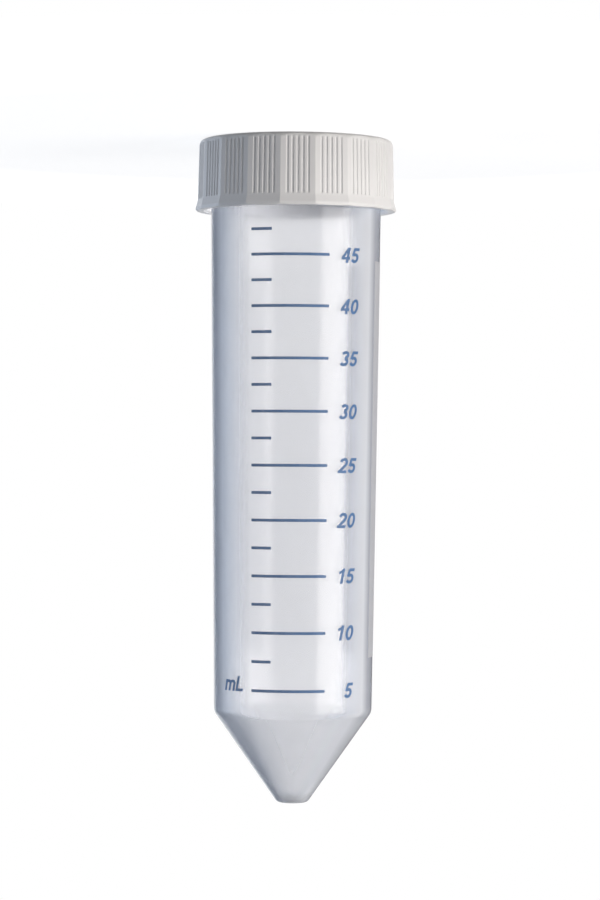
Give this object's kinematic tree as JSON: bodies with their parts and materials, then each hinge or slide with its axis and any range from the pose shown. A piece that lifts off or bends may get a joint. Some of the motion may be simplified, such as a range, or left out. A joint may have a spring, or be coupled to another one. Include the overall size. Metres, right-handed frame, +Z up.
{
  "type": "50 ml conical tube",
  "caption": "Clear conical-bottom laboratory tube with a graduated barrel, a white writing area and a ribbed white screw cap, stood upside down on its cap.",
  "frame": {"origin": "middle of the cap's flat top, on which the closed tube stands upside down", "axes": "+Z up along the tube's axis, from the cap to the tip; -Y is the front, with the scale; -X is the side of the numbers"},
  "size_m": [0.0348, 0.0344, 0.115],
  "materials": {
    "tube": "clear polypropylene, slightly milky, glossy outside",
    "cap": "white polyethylene, satin gloss",
    "scale_ink": "blue screen-printed ink",
    "writing_ink": "white matt ink that takes a pen"
  },
  "bodies": {
    "cap": {"screw_cap": "cap"},
    "tube": {"tube": "tube", "graduation_lines": "scale_ink", "numbers": "scale_ink", "unit_label": "scale_ink", "writing_area": "writing_ink"}
  },
  "joints": [
    {"name": "tube_unscrew", "type": "slide", "parent": "cap", "child": "tube", "axis": [0, 0, 1], "range_m": [0, 0.025]}
  ]
}
